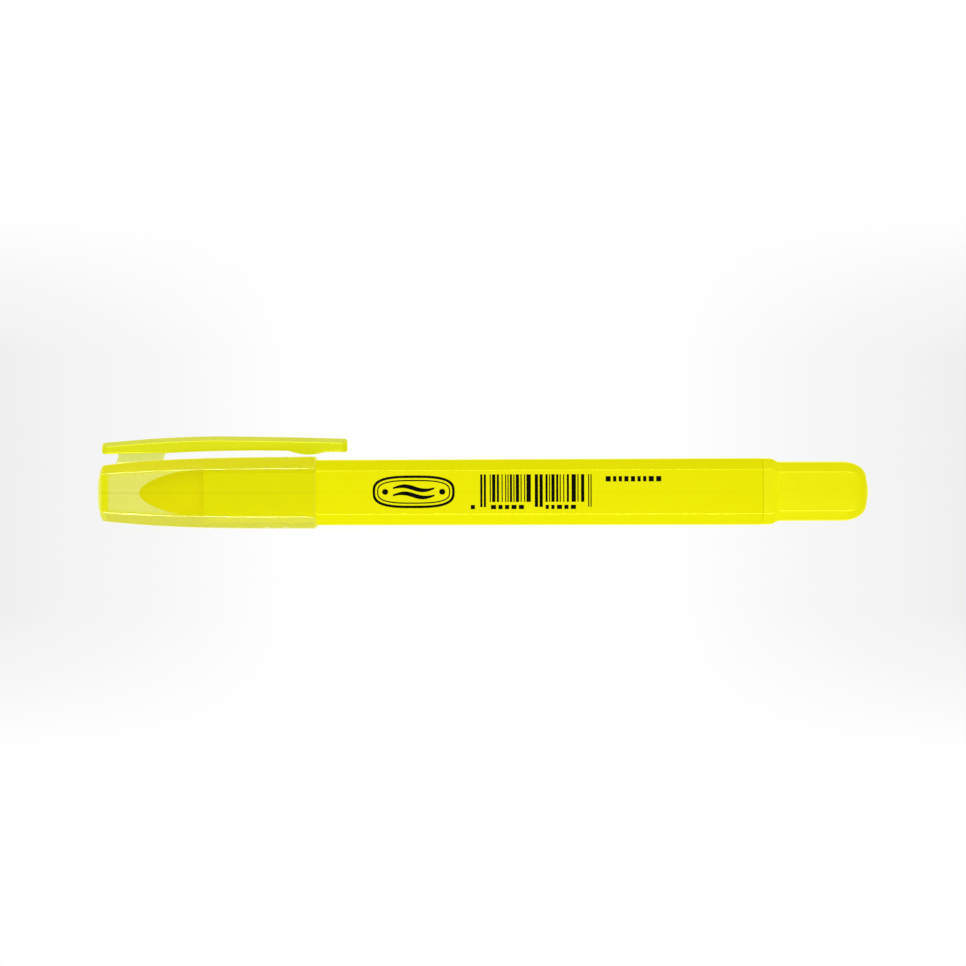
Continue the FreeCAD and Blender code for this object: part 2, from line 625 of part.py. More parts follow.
def make_lead_screw():
    """The lead screw: a rod with one left-hand helical groove, and a six-sided shank."""
    body = new_body("lead_screw", "sizes.screw_front")
    rod_profile = draw_outline(body, "rod_profile", "XZ_Plane", [
        [("0", "0")],
        [("sizes.screw_length", "0")],
        [("sizes.screw_length", "sizes.screw_radius")],
        [("0", "sizes.screw_radius")],
    ])
    add_turned(body, "rod", rod_profile)
    shank = add_feature(body, "AdditivePrism", "shank", Circumradius="sizes.shank_radius",
                        Height="sizes.shank_length")
    place_prism(body, shank, "sizes.screw_length")
    # The groove passes the upper pip, and starts a whole number of turns in front of it, clear
    # of the rod's front end, so that the holder can be screwed on.
    pip_x = f"{HOLDER_PLACE} + sizes.pip_from_rim - sizes.screw_front"
    turns_in_front = 7
    start = f"{pip_x} - {turns_in_front} * sizes.screw_lead"
    top = f"sizes.screw_radius + {CLEAR_OF_SOLID}"
    groove_profile = draw_outline(body, "groove_profile", "XZ_Plane", [
        [(f"{start} - sizes.groove_width / 2", "sizes.screw_core")],
        [(f"{start} + sizes.groove_width / 2", "sizes.screw_core")],
        [(f"{start} + sizes.groove_width / 2", top)],
        [(f"{start} - sizes.groove_width / 2", top)],
    ])
    before = body.Shape.Volume
    groove = add_feature(body, "SubtractiveHelix", "helical_groove", groove_profile)
    groove.ReferenceAxis = (groove_profile, ["H_Axis"])
    groove.Mode = "pitch-height-angle"
    groove.setExpression("Pitch", "sizes.screw_lead")
    groove.setExpression("Height", "sizes.screw_lead * sizes.groove_turns")
    groove.LeftHanded = True
    doc.recompute()
    if body.Shape.Volume >= before:
        raise RuntimeError("the helical groove cut nothing")
    return body


def place_prism(body, prism, offset):
    """Stands a six-sided prism on the plane across the pen, moved along the axis by offset."""
    support = next(item for item in body.Origin.OriginFeatures if item.Role == "YZ_Plane")
    prism.Polygon = 6
    prism.AttachmentSupport = [(support, "")]
    prism.MapMode = "FlatFace"
    prism.setExpression("AttachmentOffset.Base.z", offset)
    doc.recompute()


def make_knob():
    """The turning knob: collar, sloping shoulder, post with a rounded end, journal and socket."""
    body = new_body("knob", "sizes.barrel_length + sizes.knob_gap")
    slope_rear = "sizes.collar_length + sizes.shoulder_length"
    stations = [
        ("sizes.collar_half - sizes.seam_bevel", "0"),
        ("sizes.collar_half", "sizes.seam_bevel"),
        ("sizes.collar_half", "sizes.collar_length"),
        ("sizes.post_half", slope_rear),
        ("sizes.post_half", "sizes.knob_length"),
    ]
    sections = [
        draw_section(body, f"knob_section_{index}", half, place)
        for index, (half, place) in enumerate(stations)
    ]
    add_loft(body, "knob_outside", sections, ruled=True)
    round_knob_end(body)
    bead = "sizes.snap_from_rear + sizes.knob_gap"
    bead_front = f"-({bead} + sizes.snap_bead_width / 2)"
    bead_rear = f"-({bead} - sizes.snap_bead_width / 2)"
    journal = draw_outline(body, "journal_profile", "XZ_Plane", [
        [("-sizes.journal_length", "0")],
        [("sizes.collar_length", "0")],
        [("sizes.collar_length", "sizes.journal_radius")],
        [(bead_rear, "sizes.journal_radius")],
        [(bead_rear, "sizes.snap_bead_radius")],
        [(bead_front, "sizes.snap_bead_radius")],
        [(bead_front, "sizes.journal_radius")],
        [("-sizes.journal_length", "sizes.journal_radius")],
    ])
    add_turned(body, "journal", journal)
    before = body.Shape.Volume
    socket = add_feature(body, "SubtractivePrism", "socket", Circumradius="sizes.socket_radius",
                         Height="sizes.socket_depth")
    place_prism(body, socket, "-sizes.journal_length")
    if body.Shape.Volume >= before:
        raise RuntimeError("the socket cut nothing")
    return body


def round_knob_end(body):
    """Cuts the end of the post to a shallow crown with a well rounded rim."""
    tip = "sizes.knob_length"
    reach = "sizes.knob_rim_reach"
    shallow_x = f"{tip} - sizes.knob_end_crown"
    shallow_r = "sizes.post_half - sizes.knob_rim_depth"
    bend = (f"{shallow_x} - sizes.knob_rim_bend_x", f"{shallow_r} + sizes.knob_rim_bend_r")
    beyond = f"{tip} + {CLEAR_OF_SOLID}"
    profile = draw_outline(body, "end_profile", "XZ_Plane", [
        [(tip, "0"), None],
        [(shallow_x, shallow_r), bend],
        [(f"{shallow_x} - sizes.knob_rim_length", reach)],
        [(beyond, reach)],
        [(beyond, "0")],
    ])
    add_turned(body, "knob_end", profile, cut=True)


def check_document():
    """Stops on any object that failed, because a recompute can fail without raising."""
    for item in doc.Objects:
        if "Invalid" in item.State or "Error" in item.State:
            raise RuntimeError(f"{item.Name} is {item.State}")


def write_parts(pieces):
    """Checks each piece's solid and writes it to its own STEP file."""
    for piece in pieces:
        if piece.Shape.isNull() or not piece.Shape.isValid():
            raise RuntimeError(f"{piece.Label} has no valid shape")
    os.makedirs("parts", exist_ok=True)
    for piece in pieces:
        piece.Shape.exportStep(f"parts/{piece.Label}.step")
        print(piece.Label, len(piece.Shape.Solids), round(piece.Shape.Volume, 1), "mm3")


pieces = [
    make_barrel(),
    make_cap(),
    make_clip(),
    make_gel_stick(),
    make_stick_holder(),
    make_lead_screw(),
    make_knob(),
]
doc.recompute()
check_document()
write_parts(pieces)
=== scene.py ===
import math
import random

import bmesh
import bpy
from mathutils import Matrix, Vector
from mathutils.bvhtree import BVHTree


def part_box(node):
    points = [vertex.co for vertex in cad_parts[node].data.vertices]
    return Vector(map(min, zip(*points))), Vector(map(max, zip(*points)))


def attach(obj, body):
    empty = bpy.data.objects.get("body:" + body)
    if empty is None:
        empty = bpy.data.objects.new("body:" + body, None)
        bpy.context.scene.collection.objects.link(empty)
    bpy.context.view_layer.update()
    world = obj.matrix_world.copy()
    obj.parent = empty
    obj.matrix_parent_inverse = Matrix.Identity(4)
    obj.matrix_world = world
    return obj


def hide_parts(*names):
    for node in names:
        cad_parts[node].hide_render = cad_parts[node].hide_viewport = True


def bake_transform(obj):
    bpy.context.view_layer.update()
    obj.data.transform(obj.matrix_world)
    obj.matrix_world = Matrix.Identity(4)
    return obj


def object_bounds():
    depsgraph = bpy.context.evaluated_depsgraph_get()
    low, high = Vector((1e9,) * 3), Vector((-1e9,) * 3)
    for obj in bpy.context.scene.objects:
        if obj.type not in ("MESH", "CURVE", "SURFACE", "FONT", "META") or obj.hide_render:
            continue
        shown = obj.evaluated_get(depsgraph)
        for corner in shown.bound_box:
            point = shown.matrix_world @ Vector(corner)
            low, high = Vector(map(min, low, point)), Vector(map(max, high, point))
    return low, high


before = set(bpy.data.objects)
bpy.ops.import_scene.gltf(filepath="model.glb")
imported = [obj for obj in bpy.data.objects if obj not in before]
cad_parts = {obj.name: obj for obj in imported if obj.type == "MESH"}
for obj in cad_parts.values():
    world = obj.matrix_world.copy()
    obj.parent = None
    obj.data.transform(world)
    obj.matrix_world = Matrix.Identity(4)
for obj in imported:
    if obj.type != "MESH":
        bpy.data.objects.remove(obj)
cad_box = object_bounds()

# The highlighter lies along X: cap at -X, turning knob at +X, pocket clip on +Z. The origin is on
# the axis, at the barrel's front shoulder. Sizes below are in millimetres and are turned into
# metres by MM where a mesh is made.

MM = 0.001


# ---------------------------------------------------------------- sizes read from the CAD frame

def node_box(node):
    """Lowest and highest corner of a CAD node, in millimetres."""
    low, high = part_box(node)
    return low / MM, high / MM


def surface_tree(node):
    """A search tree of a CAD node's surface."""
    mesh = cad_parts[node].data
    corners = [vertex.co for vertex in mesh.vertices]
    return BVHTree.FromPolygons(corners, [polygon.vertices for polygon in mesh.polygons])


TREES = {node: surface_tree(node) for node in ("barrel", "cap", "clip", "knob")}


def surface_height(node, start, upwards=True):
    """Height of the first surface of a node above (or below) a start point, in millimetres."""
    direction = Vector((0, 0, 1 if upwards else -1))
    return TREES[node].ray_cast(Vector(start) * MM, direction)[0].z / MM


def flat_distance(node, x):
    """Distance from the axis to a node's lower flat at a place along the pen."""
    return -surface_height(node, (x, 0.01, -20))


BARREL_LOW, BARREL_HIGH = node_box("barrel")
CAP_LOW, CAP_HIGH = node_box("cap")
CLIP_LOW, CLIP_HIGH = node_box("clip")
KNOB_LOW, KNOB_HIGH = node_box("knob")
STICK_LOW, STICK_HIGH = node_box("gel_stick")

NECK_FRONT = BARREL_LOW.x
BARREL_REAR = BARREL_HIGH.x
BARREL_FRONT_HALF = flat_distance("barrel", 0.01)
BARREL_REAR_HALF = BARREL_HIGH.z
NECK_HALF = flat_distance("barrel", NECK_FRONT / 2)
CAP_TIP = CAP_LOW.x
CAP_MOUTH = CAP_HIGH.x
CAP_MOUTH_HALF = CAP_HIGH.y
KNOB_FRONT = BARREL_REAR + 0.05
KNOB_END = KNOB_HIGH.x
POST_HALF = flat_distance("knob", KNOB_END - 8)
COLLAR_HALF = flat_distance("knob", KNOB_FRONT + 1)
STICK_TIP = STICK_LOW.x
STICK_RADIUS = STICK_HIGH.y

FLAT_RATIO = 0.64  # half-width of a flat over its distance from the axis
EDGE_ANGLE = math.degrees(math.atan(FLAT_RATIO))  # where a flat meets a chamfer
EDGE_RADIUS = 0.7
CROWN = 0.16  # how far the middle of a flat stands above its edges
CROWN_HALF = 5.6  # the distance from axis to flat at which the crown is that high
CAP_WALL = 0.85
CAP_END_WALL = 1.5
CAP_END_CROWN = 0.75
BORE_RADIUS = 4.15
REAR_BORE_RADIUS = 4.6


# ---------------------------------------------------------------- cross-sections and lofts

def edge_setback(edge):
    """How far a rounded edge eats into the flat and the chamfer that meet at it."""
    return edge * math.tan(math.radians(22.5))


def soft_square(half, edge=EDGE_RADIUS, crown=CROWN):
    """Points (y, z) of the section: four crowned flats, four chamfers and eight round edges."""
    half_flat = half * FLAT_RATIO
    half_chamfer = half * (1 - FLAT_RATIO) / math.sqrt(2)
    chamfer_distance = half * (1 + FLAT_RATIO) / math.sqrt(2)
    setback = edge_setback(edge)
    sides = []
    for side in range(8):
        facing = math.radians(45 * side)
        outward = Vector((math.cos(facing), math.sin(facing)))
        along = Vector((-math.sin(facing), math.cos(facing)))
        is_flat = side % 2 == 0
        distance = half if is_flat else chamfer_distance
        reach = (half_flat if is_flat else half_chamfer) - setback
        bulge = crown if is_flat else crown * (half_chamfer / half_flat) ** 2
        count = 10 if is_flat else 5
        points = []
        for index in range(count + 1):
            share = 2 * index / count - 1
            points.append(outward * (distance - bulge * share * share) + along * reach * share)
        slope = 2 * bulge / reach
        leave = (along - outward * slope).normalized()
        arrive = (along + outward * slope).normalized()
        sides.append((points, arrive, leave))
    outline = []
    for side, (points, _, leave) in enumerate(sides):
        outline += points
        following, arrive, _ = sides[(side + 1) % 8]
        outline += curve_between(points[-1], leave, following[0], arrive, 5)
    return outline


def curve_between(start, leave, end, arrive, steps):
    """Points strictly between start and end on a smooth curve with the given directions."""
    span = (end - start).length
    points = []
    for index in range(1, steps):
        t = index / steps
        weights = (2 * t**3 - 3 * t**2 + 1, t**3 - 2 * t**2 + t, -2 * t**3 + 3 * t**2, t**3 - t**2)
        point = start * weights[0] + leave * span * weights[1]
        points.append(point + end * weights[2] + arrive * span * weights[3])
    return points


UNIT_ANGLES = [math.atan2(p.y, p.x) for p in soft_square(5.0)]


def circle(radius):
    """A circle with as many points as the soft square has, at the same angles."""
    return [Vector((math.cos(a), math.sin(a))) * radius for a in UNIT_ANGLES]


def section(half, roundness):
    """A section between the soft square (roundness 0) and a circle (roundness 1)."""
    edge = min(EDGE_RADIUS, 0.25 * half)
    square = soft_square(half, edge, CROWN * half / CROWN_HALF)
    if roundness == 0:
        return square
    return [s.lerp(c, roundness) for s, c in zip(square, circle(half))]


def rounded_path(corners, steps=5):
    """Stations (x, half, roundness) along a path whose corners carry their own radius."""
    stations = []
    for index, (x, half, radius, roundness) in enumerate(corners):
        here = Vector((x, half))
        is_end = index in (0, len(corners) - 1)
        if radius == 0 or is_end:
            stations.append((x, half, roundness))
            continue
        before = Vector(corners[index - 1][:2])
        after = Vector(corners[index + 1][:2])
        back = (before - here).normalized()
        onward = (after - here).normalized()
        start, end = here + back * radius, here + onward * radius
        for step in range(steps + 1):
            t = step / steps
            point = start * (1 - t) ** 2 + here * 2 * t * (1 - t) + end * t**2
            stations.append((point.x, point.y, roundness))
    return spread(stations)


def spread(stations, guard=0.06, longest=4.0):
    """Adds stations in long spans, with one close to each end to hold the shading."""
    result = [stations[0]]
    for start, end in zip(stations, stations[1:]):
        length = math.hypot(end[0] - start[0], end[1] - start[1])
        shares = []
        if length > 8 * guard:
            parts = max(1, math.ceil(length / longest))
            shares = [guard / length] + [k / parts for k in range(1, parts)] + [1 - guard / length]
        for share in shares + [1]:
            result.append(tuple(a + (b - a) * share for a, b in zip(start, end)))
    return result


def new_piece(name, build, materials):
    """A mesh object whose faces the build function adds to a bmesh, in metres."""
    mesh = bpy.data.meshes.new(name)
    work = bmesh.new()
    build(work)
    bmesh.ops.recalc_face_normals(work, faces=work.faces)
    work.to_mesh(mesh)
    work.free()
    for polygon in mesh.polygons:
        polygon.use_smooth = True
    piece = bpy.data.objects.new(name, mesh)
    bpy.context.scene.collection.objects.link(piece)
    for material in materials:
        mesh.materials.append(material)
    return piece


def add_ring(work, x, outline):
    """New vertices at a place along the pen, one for each (y, z) point of the outline."""
    return [work.verts.new(Vector((x, point.x, point.y)) * MM) for point in outline]


def bridge(work, first, second):
    """A band of four-sided faces between two rings of equal length."""
    faces = []
    for index in range(len(first)):
        following = (index + 1) % len(first)
        corners = first[index], first[following], second[following], second[index]
        faces.append(work.faces.new(corners))
    return faces


def close_with_pole(work, ring, x):
    """Closes a ring with a fan round a point on the axis."""
    pole = work.verts.new(Vector((x, 0, 0)) * MM)
    fan = []
    for index in range(len(ring)):
        fan.append(work.faces.new((ring[index], ring[(index + 1) % len(ring)], pole)))
    return fan


def loft_along_axis(work, stations, closed=False, poles=()):
    """Rings at the stations, bridged in order. A pole (index, x) closes the ring at that index."""
    rings = [add_ring(work, x, section(half, roundness)) for x, half, roundness in stations]
    for first, second in zip(rings, rings[1:]):
        bridge(work, first, second)
    if closed:
        bridge(work, rings[-1], rings[0])
    for index, x in poles:
        close_with_pole(work, rings[index], x)


def hold_normals(piece):
    """Keeps broad faces flat in the shading, and lets only the small roundings turn."""
    piece.modifiers.new("face_weighted_normals", "WEIGHTED_NORMAL").keep_sharp = True


# ---------------------------------------------------------------- node materials

def new_material(name):
    """An empty node material and its node tree."""
    material = bpy.data.materials.new(name)
    material.use_nodes = True
    material.node_tree.nodes.clear()
    return material, material.node_tree


def add_node(tree, kind, inputs=None, **settings):
    """A shader node; each input is a value or another node's output socket."""
    node = tree.nodes.new(kind)
    for key, value in settings.items():
        setattr(node, key, value)
    for key, value in (inputs or {}).items():
        if isinstance(value, bpy.types.NodeSocket):
            tree.links.new(value, node.inputs[key])
        else:
            node.inputs[key].default_value = value
    return node


def math_node(tree, operation, first, second=0.0, clamp=False):
    """The output of one arithmetic step on two values or sockets."""
    node = add_node(tree, "ShaderNodeMath", {0: first, 1: second}, operation=operation)
    node.use_clamp = clamp
    return node.outputs[0]


def mix_colours(tree, share, first, second):
    """The first colour where the share is 0, the second where it is 1."""
    node = tree.nodes.new("ShaderNodeMix")
    node.data_type = "RGBA"
    for socket, value in ((0, share), (6, first), (7, second)):
        if isinstance(value, bpy.types.NodeSocket):
            tree.links.new(value, node.inputs[socket])
        else:
            node.inputs[socket].default_value = value
    return node.outputs[2]


def noise(tree, scale, detail=2.0, stretch=(1, 1, 1), roughness=0.5):
    """Noise in object space; scale is in features per metre."""
    where = add_node(tree, "ShaderNodeTexCoord").outputs["Object"]
    stretched = add_node(tree, "ShaderNodeMapping", {"Vector": where, "Scale": stretch})
    texture = add_node(tree, "ShaderNodeTexNoise", {
        "Vector": stretched.outputs[0], "Scale": scale, "Detail": detail, "Roughness": roughness})
    return texture.outputs["Fac"]


def remap(tree, value, low, high, start=0.0, end=1.0):
    """Takes start..end to low..high, and holds those values outside."""
    node = add_node(tree, "ShaderNodeMapRange", {
        "Value": value, "From Min": start, "From Max": end, "To Min": low, "To Max": high})
    return node.outputs[0]


def fine_bump(tree, height, strength, distance):
    """A normal that follows a height; distance is in millimetres."""
    node = add_node(tree, "ShaderNodeBump", {
        "Strength": strength, "Distance": distance * MM, "Height": height})
    return node.outputs[0]


def finish_material(tree, shader):
    """Joins a shader to the material's surface output."""
    output = tree.nodes.new("ShaderNodeOutputMaterial")
    tree.links.new(shader, output.inputs["Surface"])


INNER_SKIN = "inner_skin"  # mesh attribute: 1 on faces that line a cavity
YELLOW_GLOSS = (1.0, 1.0, 0.11, 1)  # dyed plastic keeps its hue even where it shines
CLEAR_GLOSS = (1.0, 1.0, 0.6, 1)
OUTER_BEND, INNER_BEND = 1.045, 1.01  # index of refraction at the outer and inner skin
PARTING_SHADE_HALF_WIDTH = 0.22
CLEAR_LINE_SHADE = 0.03  # painted shade: how much clear plastic darkens along its parting line


def glossed(tree, body, gloss, roughness, normal, ior=1.46):
    """The body shader under a smooth skin that reflects as a dielectric does."""
    skin = add_node(tree, "ShaderNodeBsdfGlossy", {
        "Color": gloss, "Roughness": roughness, "Normal": normal})
    fresnel = add_node(tree, "ShaderNodeFresnel", {"IOR": ior, "Normal": normal})
    mixed = add_node(tree, "ShaderNodeMixShader", {0: fresnel.outputs[0], 1: body, 2: skin.outputs[0]})
    return mixed.outputs[0]


def diffuse_with_painted_glow(tree, colour, glow, normal):
    """Body colour that scatters light, with a painted glow of its own hue standing in for
    fluorescence.
    """
    lit = add_node(tree, "ShaderNodeBsdfDiffuse", {"Color": colour, "Normal": normal})
    painted_glow = add_node(tree, "ShaderNodeEmission", {"Color": colour, "Strength": glow})
    return add_node(tree, "ShaderNodeAddShader", {0: lit.outputs[0], 1: painted_glow.outputs[0]}).outputs[0]


def painted_parting_shade(tree, strength):
    """Painted shade: brightness that dips a little along the mould's parting line, half way up both
    sides.
    """
    where = add_node(tree, "ShaderNodeTexCoord").outputs["Object"]
    height = add_node(tree, "ShaderNodeSeparateXYZ", {0: where}).outputs["Z"]
    away = math_node(tree, "ABSOLUTE", height)
    return remap(tree, away, 1 - strength, 1, 0, PARTING_SHADE_HALF_WIDTH * MM)


def neon_plastic(name, deep, bright, glow, satin, line):
    """Opaque fluorescent plastic: slow colour drift, faint flow marks, a fine satin skin, a painted
    glow and a painted shade along the parting line.
    """
    material, tree = new_material(name)
    drift = noise(tree, 90, 3, (0.35, 1, 1))
    colour = mix_colours(tree, remap(tree, drift, 0.2, 0.8), deep, bright)
    # painted shade along the parting line
    colour = mix_colours(tree, painted_parting_shade(tree, line), (0, 0, 0, 1), colour)
    flow = noise(tree, 1400, 4, (0.05, 1, 1))
    skin = noise(tree, 5200, 2)
    height = math_node(tree, "ADD", math_node(tree, "MULTIPLY", flow, 0.6), skin)
    normal = fine_bump(tree, height, 0.05, 0.02)
    roughness = remap(tree, noise(tree, 700, 3), satin * 0.82, satin * 1.18)
    body = diffuse_with_painted_glow(tree, colour, glow, normal)
    finish_material(tree, glossed(tree, body, YELLOW_GLOSS, roughness, normal))
    return material


def clear_plastic(name, tint, milk_with_painted_light, milkiness_with_painted_light, glow, absorbed, density, gloss, gloss_roughness):
    """Clear dyed plastic with a little scatter: refracts, takes up blue with depth, and has a painted
    glow.

    Milk colours and shares come in threes: for level faces, for faces that look up, where a painted
    tint and extra scatter stand in for the light from above, and for faces that look down, where a
    painted paler tint stands in for the light from the pale floor.
    """
    material, tree = new_material(name)
    cloud = noise(tree, 160, 3, (0.4, 1, 1))
    normal = fine_bump(tree, noise(tree, 1600, 3, (0.06, 1, 1)), 0.03, 0.02)
    geometry = add_node(tree, "ShaderNodeNewGeometry")
    inner = add_node(tree, "ShaderNodeAttribute", attribute_name=INNER_SKIN).outputs["Fac"]
    upwards = add_node(tree, "ShaderNodeSeparateXYZ", {0: geometry.outputs["Normal"]}).outputs["Z"]
    # painted light: faces that look up get a painted tint of the light from above, faces that look
    # down a painted paler tint of the light from the floor
    faces_up_painted_light = remap(tree, upwards, 0, 1, 0.35, 0.65)
    faces_down_painted_light = remap(tree, upwards, 0, 1, -0.35, -0.65)
    # painted shade: the see-through tint darkens along the parting line
    seen_through = mix_colours(tree, painted_parting_shade(tree, CLEAR_LINE_SHADE), (0, 0, 0, 1), tint)
    bent = add_node(tree, "ShaderNodeBsdfRefraction", {
        "Color": seen_through, "IOR": remap(tree, inner, OUTER_BEND, INNER_BEND),
        "Roughness": 0.05})
    # at a glancing angle light goes straight on, so that none is trapped in the wall
    straight = add_node(tree, "ShaderNodeBsdfTransparent", {"Color": seen_through})
    glancing = add_node(tree, "ShaderNodeLayerWeight").outputs["Facing"]
    clear = add_node(tree, "ShaderNodeMixShader", {
        0: remap(tree, glancing, 0, 1, 0.4, 0.6), 1: bent.outputs[0], 2: straight.outputs[0]})
    colour = mix_colours(tree, faces_up_painted_light, milk_with_painted_light[0], milk_with_painted_light[1])
    colour = mix_colours(tree, faces_down_painted_light, colour, milk_with_painted_light[2])
    passed = add_node(tree, "ShaderNodeBsdfTranslucent", {"Color": colour, "Normal": normal})
    lit = diffuse_with_painted_glow(tree, colour, 2 * glow, normal)
    scatter = add_node(tree, "ShaderNodeMixShader", {0: 0.5, 1: lit, 2: passed.outputs[0]})
    # painted light: extra scatter on faces that look up and down
    painted_up_share = math_node(tree, "MULTIPLY", faces_up_painted_light, milkiness_with_painted_light[1] - milkiness_with_painted_light[0])
    painted_down_share = math_node(tree, "MULTIPLY", faces_down_painted_light, milkiness_with_painted_light[2] - milkiness_with_painted_light[0])
    painted_light_share = math_node(tree, "MULTIPLY", math_node(tree, "ADD", painted_up_share, painted_down_share),
                      math_node(tree, "SUBTRACT", 1.0, inner))
    level = math_node(tree, "ADD", painted_light_share, remap(tree, inner, milkiness_with_painted_light[0], 0.6 * milkiness_with_painted_light[0]))
    share = math_node(tree, "MULTIPLY", level, remap(tree, cloud, 0.85, 1.15), True)
    body = add_node(tree, "ShaderNodeMixShader", {
        0: share, 1: clear.outputs[0], 2: scatter.outputs[0]})
    skin = add_node(tree, "ShaderNodeBsdfGlossy", {
        "Color": gloss, "Normal": normal,
        "Roughness": remap(tree, cloud, 0.8 * gloss_roughness, 1.2 * gloss_roughness)})
    # only the outside shines: seen from within, the same surface lets light out
    matt = math_node(tree, "MAXIMUM", geometry.outputs["Backfacing"], inner)
    fresnel = add_node(tree, "ShaderNodeFresnel", {"IOR": 1.7, "Normal": normal}).outputs[0]
    shiny = add_node(tree, "ShaderNodeMixShader", {
        0: math_node(tree, "MULTIPLY", math_node(tree, "SUBTRACT", 1.0, matt), fresnel),
        1: body.outputs[0], 2: skin.outputs[0]})
    # light on its way to what is inside passes straight through
    through = add_node(tree, "ShaderNodeBsdfTransparent", {"Color": (1, 1, 1, 1)})
    is_lighting = add_node(tree, "ShaderNodeLightPath").outputs["Is Diffuse Ray"]
    surface = add_node(tree, "ShaderNodeMixShader", {
        0: is_lighting, 1: shiny.outputs[0], 2: through.outputs[0]})
    depth = add_node(tree, "ShaderNodeVolumeAbsorption", {"Color": absorbed, "Density": density})
    output = tree.nodes.new("ShaderNodeOutputMaterial")
    tree.links.new(surface.outputs[0], output.inputs["Surface"])
    tree.links.new(depth.outputs[0], output.inputs["Volume"])
    return material


def waxy_gel(name, glow):
    """The gel stick: dense, a little darker, waxy, with faint casting marks and a painted glow."""
    material, tree = new_material(name)
    colour = mix_colours(tree, noise(tree, 220, 4), (0.80, 0.74, 0.0, 1), (0.83, 0.77, 0.0, 1))
    normal = fine_bump(tree, noise(tree, 2600, 4), 0.15, 0.03)
    roughness = remap(tree, noise(tree, 900, 2), 0.35, 0.5)
    body = diffuse_with_painted_glow(tree, colour, glow, normal)
    finish_material(tree, glossed(tree, body, YELLOW_GLOSS, roughness, normal))
    return material


def natural_plastic(name, colour, streak):
    """Undyed moulded plastic of the hidden feed parts."""
    material, tree = new_material(name)
    darker = tuple(c * 0.9 for c in colour[:3]) + (1,)
    mixed = mix_colours(tree, noise(tree, 300, 4, streak), colour, darker)
    shader = add_node(tree, "ShaderNodeBsdfPrincipled", {
        "Base Color": mixed,
        "Roughness": remap(tree, noise(tree, 1200, 2), 0.35, 0.55),
        "Normal": fine_bump(tree, noise(tree, 3000, 3), 0.2, 0.03),
    })
    finish_material(tree, shader.outputs[0])
    return material


def printing_ink(name):
    """Pad-printed black ink, thin enough for a few pinholes to look grey."""
    material, tree = new_material(name)
    pinholes = math_node(tree, "GREATER_THAN", noise(tree, 9000, 2), 0.66)
    colour = mix_colours(tree, pinholes, (0.004, 0.004, 0.004, 1), (0.05, 0.048, 0.01, 1))
    shader = add_node(tree, "ShaderNodeBsdfPrincipled", {
        "Base Color": colour,
        "Roughness": remap(tree, noise(tree, 2500, 2), 0.4, 0.6),
        "Specular IOR Level": 0.0,
    })
    finish_material(tree, shader.outputs[0])
    return material


# the glow in each material is a painted glow, the same under any light
BARREL_PLASTIC = neon_plastic(
    "barrel_neon_yellow", (0.80, 0.775, 0.0, 1), (0.82, 0.795, 0.0, 1), 0.12, satin=0.22, line=0.03)
KNOB_PLASTIC = neon_plastic(
    "knob_neon_yellow", (0.805, 0.78, 0.0, 1), (0.825, 0.80, 0.0, 1), 0.12, satin=0.34, line=0.01)
# the second and third milk colours and shares are painted light on faces that look up and down
CAP_PLASTIC = clear_plastic(
    "cap_clear_yellow", tint=(0.988, 0.986, 0.965, 1),
    milk_with_painted_light=((0.70, 0.71, 0.02, 1), (0.81, 0.77, 0.0, 1), (0.70, 0.72, 0.34, 1)),
    milkiness_with_painted_light=(0.07, 0.9, 0.28), glow=0.12,
    absorbed=(0.99, 0.992, 0.1, 1), density=960, gloss=CLEAR_GLOSS, gloss_roughness=0.12)
STEM_PLASTIC = clear_plastic(
    "stem_clear_yellow", tint=(0.93, 0.95, 0.96, 1),
    milk_with_painted_light=((0.66, 0.70, 0.1, 1), (0.66, 0.70, 0.1, 1), (0.66, 0.70, 0.1, 1)),
    milkiness_with_painted_light=(0.15, 0.15, 0.15), glow=0.12,
    absorbed=(0.99, 0.992, 0.1, 1), density=500, gloss=CLEAR_GLOSS, gloss_roughness=0.3)
CLIP_PLASTIC = clear_plastic(
    "clip_clear_yellow", tint=(0.965, 0.97, 0.96, 1),
    milk_with_painted_light=((0.68, 0.695, 0.0, 1), (0.71, 0.725, 0.16, 1), (0.68, 0.69, 0.05, 1)),
    milkiness_with_painted_light=(0.4, 0.8, 0.4), glow=0.12,
    absorbed=(0.985, 0.99, 0.1, 1), density=1700, gloss=YELLOW_GLOSS, gloss_roughness=0.42)
GEL = waxy_gel("gel_yellow", 0.12)
INK = printing_ink("printed_black")


# ---------------------------------------------------------------- the visible pieces

def build_barrel(work):
    """Barrel, shoulder and neck outside; plain bores inside, wide enough for the holder's fins."""
    seam = 0.14
    corners = [
        (BARREL_REAR, REAR_BORE_RADIUS, 0, 1),
        (BARREL_REAR, BARREL_REAR_HALF, seam, 0),
        (0, BARREL_FRONT_HALF, 0.1, 0),
        (0, NECK_HALF, 0.08, 0),
        (NECK_FRONT, NECK_HALF, 0.35, 0),
        (NECK_FRONT, BORE_RADIUS, 0.15, 1),
        (2, BORE_RADIUS, 0, 1),
        (2, REAR_BORE_RADIUS, 0, 1),
    ]
    stations = rounded_path(corners)
    loft_along_axis(work, stations, closed=True)


def build_knob(work):
    """Collar, slope, post and rounded end outside; journal and socket inside."""
    collar_end = KNOB_FRONT + 1.6
    slope_end = collar_end + 1.25
    journal_front = KNOB_LOW.x
    socket_end = journal_front + 19
    outer = [
        (socket_end, 2.6, 0, 1),
        (journal_front, 2.6, 0.15, 1),
        (journal_front, 4.55, 0.3, 1),
        (KNOB_FRONT, 4.55, 0.05, 1),
        (KNOB_FRONT, COLLAR_HALF, 0.14, 0),
        (collar_end, COLLAR_HALF, 0.35, 0),
        (slope_end, POST_HALF, 0.45, 0.1),
        (KNOB_END - 4.6, POST_HALF, 0, 0.1),
    ]
    stations = rounded_path(outer) + knob_end_stations()
    loft_along_axis(work, stations, poles=((0, socket_end), (-1, KNOB_END)))


